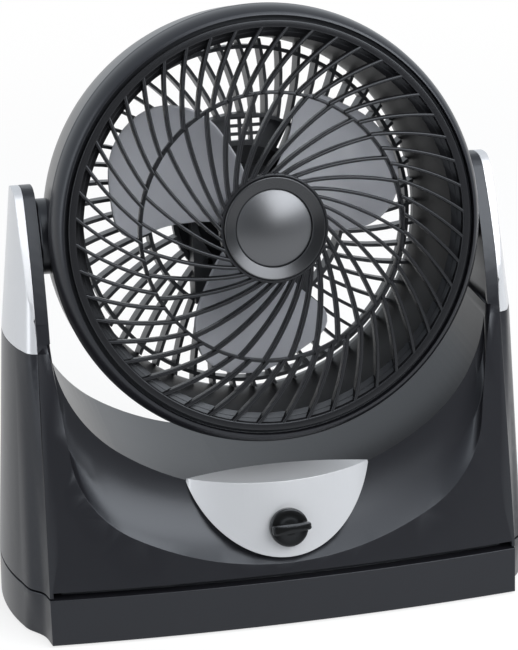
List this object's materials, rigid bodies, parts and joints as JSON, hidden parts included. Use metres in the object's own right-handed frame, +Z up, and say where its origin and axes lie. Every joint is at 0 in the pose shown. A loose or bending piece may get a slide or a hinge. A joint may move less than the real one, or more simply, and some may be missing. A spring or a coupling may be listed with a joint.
{
  "type": "table air circulator fan",
  "caption": "Tilting round air circulator fan in a U-shaped stand, with swirled grilles, broad blades, silver trim and a front speed knob.",
  "frame": {"origin": "centre of the footprint, on the surface that the rubber feet stand on", "axes": "+Z up, -Y out of the front grille side, +X to the right seen from the front"},
  "size_m": [0.3642, 0.166, 0.4038],
  "materials": {
    "black_gloss": "high gloss injection moulded black plastic",
    "black_satin": "satin moulded black plastic",
    "silver_trim": "silver painted plastic under clear coat",
    "grille_black": "semi gloss moulded black plastic",
    "hub_grey": "glossy dark grey plastic",
    "blade_grey": "semi gloss grey moulded plastic",
    "knob_black": "gloss black plastic",
    "nylon": "natural nylon",
    "steel": "zinc plated steel",
    "bronze": "sintered bronze",
    "lamination": "laminated electrical steel",
    "winding": "varnished winding",
    "rubber": "soft black rubber"
  },
  "bodies": {
    "stand": {"plinth": "black_gloss", "stand_shell": "black_gloss", "back_cover": "black_satin", "side_cap_left": "silver_trim", "side_cap_right": "silver_trim", "control_panel": "silver_trim", "rotary_switch": "nylon", "switch_nut": "steel", "rubber_feet": "rubber", "base_screws": "steel", "cover_screws": "steel", "cord_gland": "black_satin", "pivot_bush_left": "nylon", "pivot_bush_right": "nylon", "friction_washer_left": "steel", "friction_washer_right": "steel"},
    "head": {"head_drum": "black_gloss", "front_bezel": "black_gloss", "air_duct": "black_satin", "front_grille": "grille_black", "hub_ring": "hub_grey", "hub_dome": "hub_grey", "rear_grille": "grille_black", "rear_grille_screws": "steel", "grille_screws": "steel", "motor_front_shield": "black_satin", "motor_rear_shield": "black_satin", "motor_rear_cover": "black_satin", "motor_screws": "steel", "stator_core": "lamination", "stator_winding": "winding", "bush_front": "bronze", "bush_rear": "bronze", "pivot_pin_left": "steel", "pivot_pin_right": "steel", "pivot_nut_left": "steel", "pivot_nut_right": "steel"},
    "rotor": {"fan_blade": "blade_grey", "blade_nut": "black_satin", "motor_shaft": "steel", "rotor_core": "lamination"},
    "knob": {"speed_knob": "knob_black", "switch_spindle": "steel"}
  },
  "joints": [
    {"name": "head_tilt", "type": "hinge", "parent": "stand", "child": "head", "pos_m": [0, 0.01841, 0.2544], "axis": [-1, 0, 0], "range_deg": [-27, 78]},
    {"name": "fan_spin", "type": "hinge", "parent": "head", "child": "rotor", "pos_m": [0, -0.0305, 0.2648], "axis": [0, -0.9781, 0.2079], "continuous": true},
    {"name": "knob_turn", "type": "hinge", "parent": "stand", "child": "knob", "pos_m": [0, -0.072, 0.0685], "axis": [0, -0.956, 0.2935], "range_deg": [-45, 90]}
  ]
}
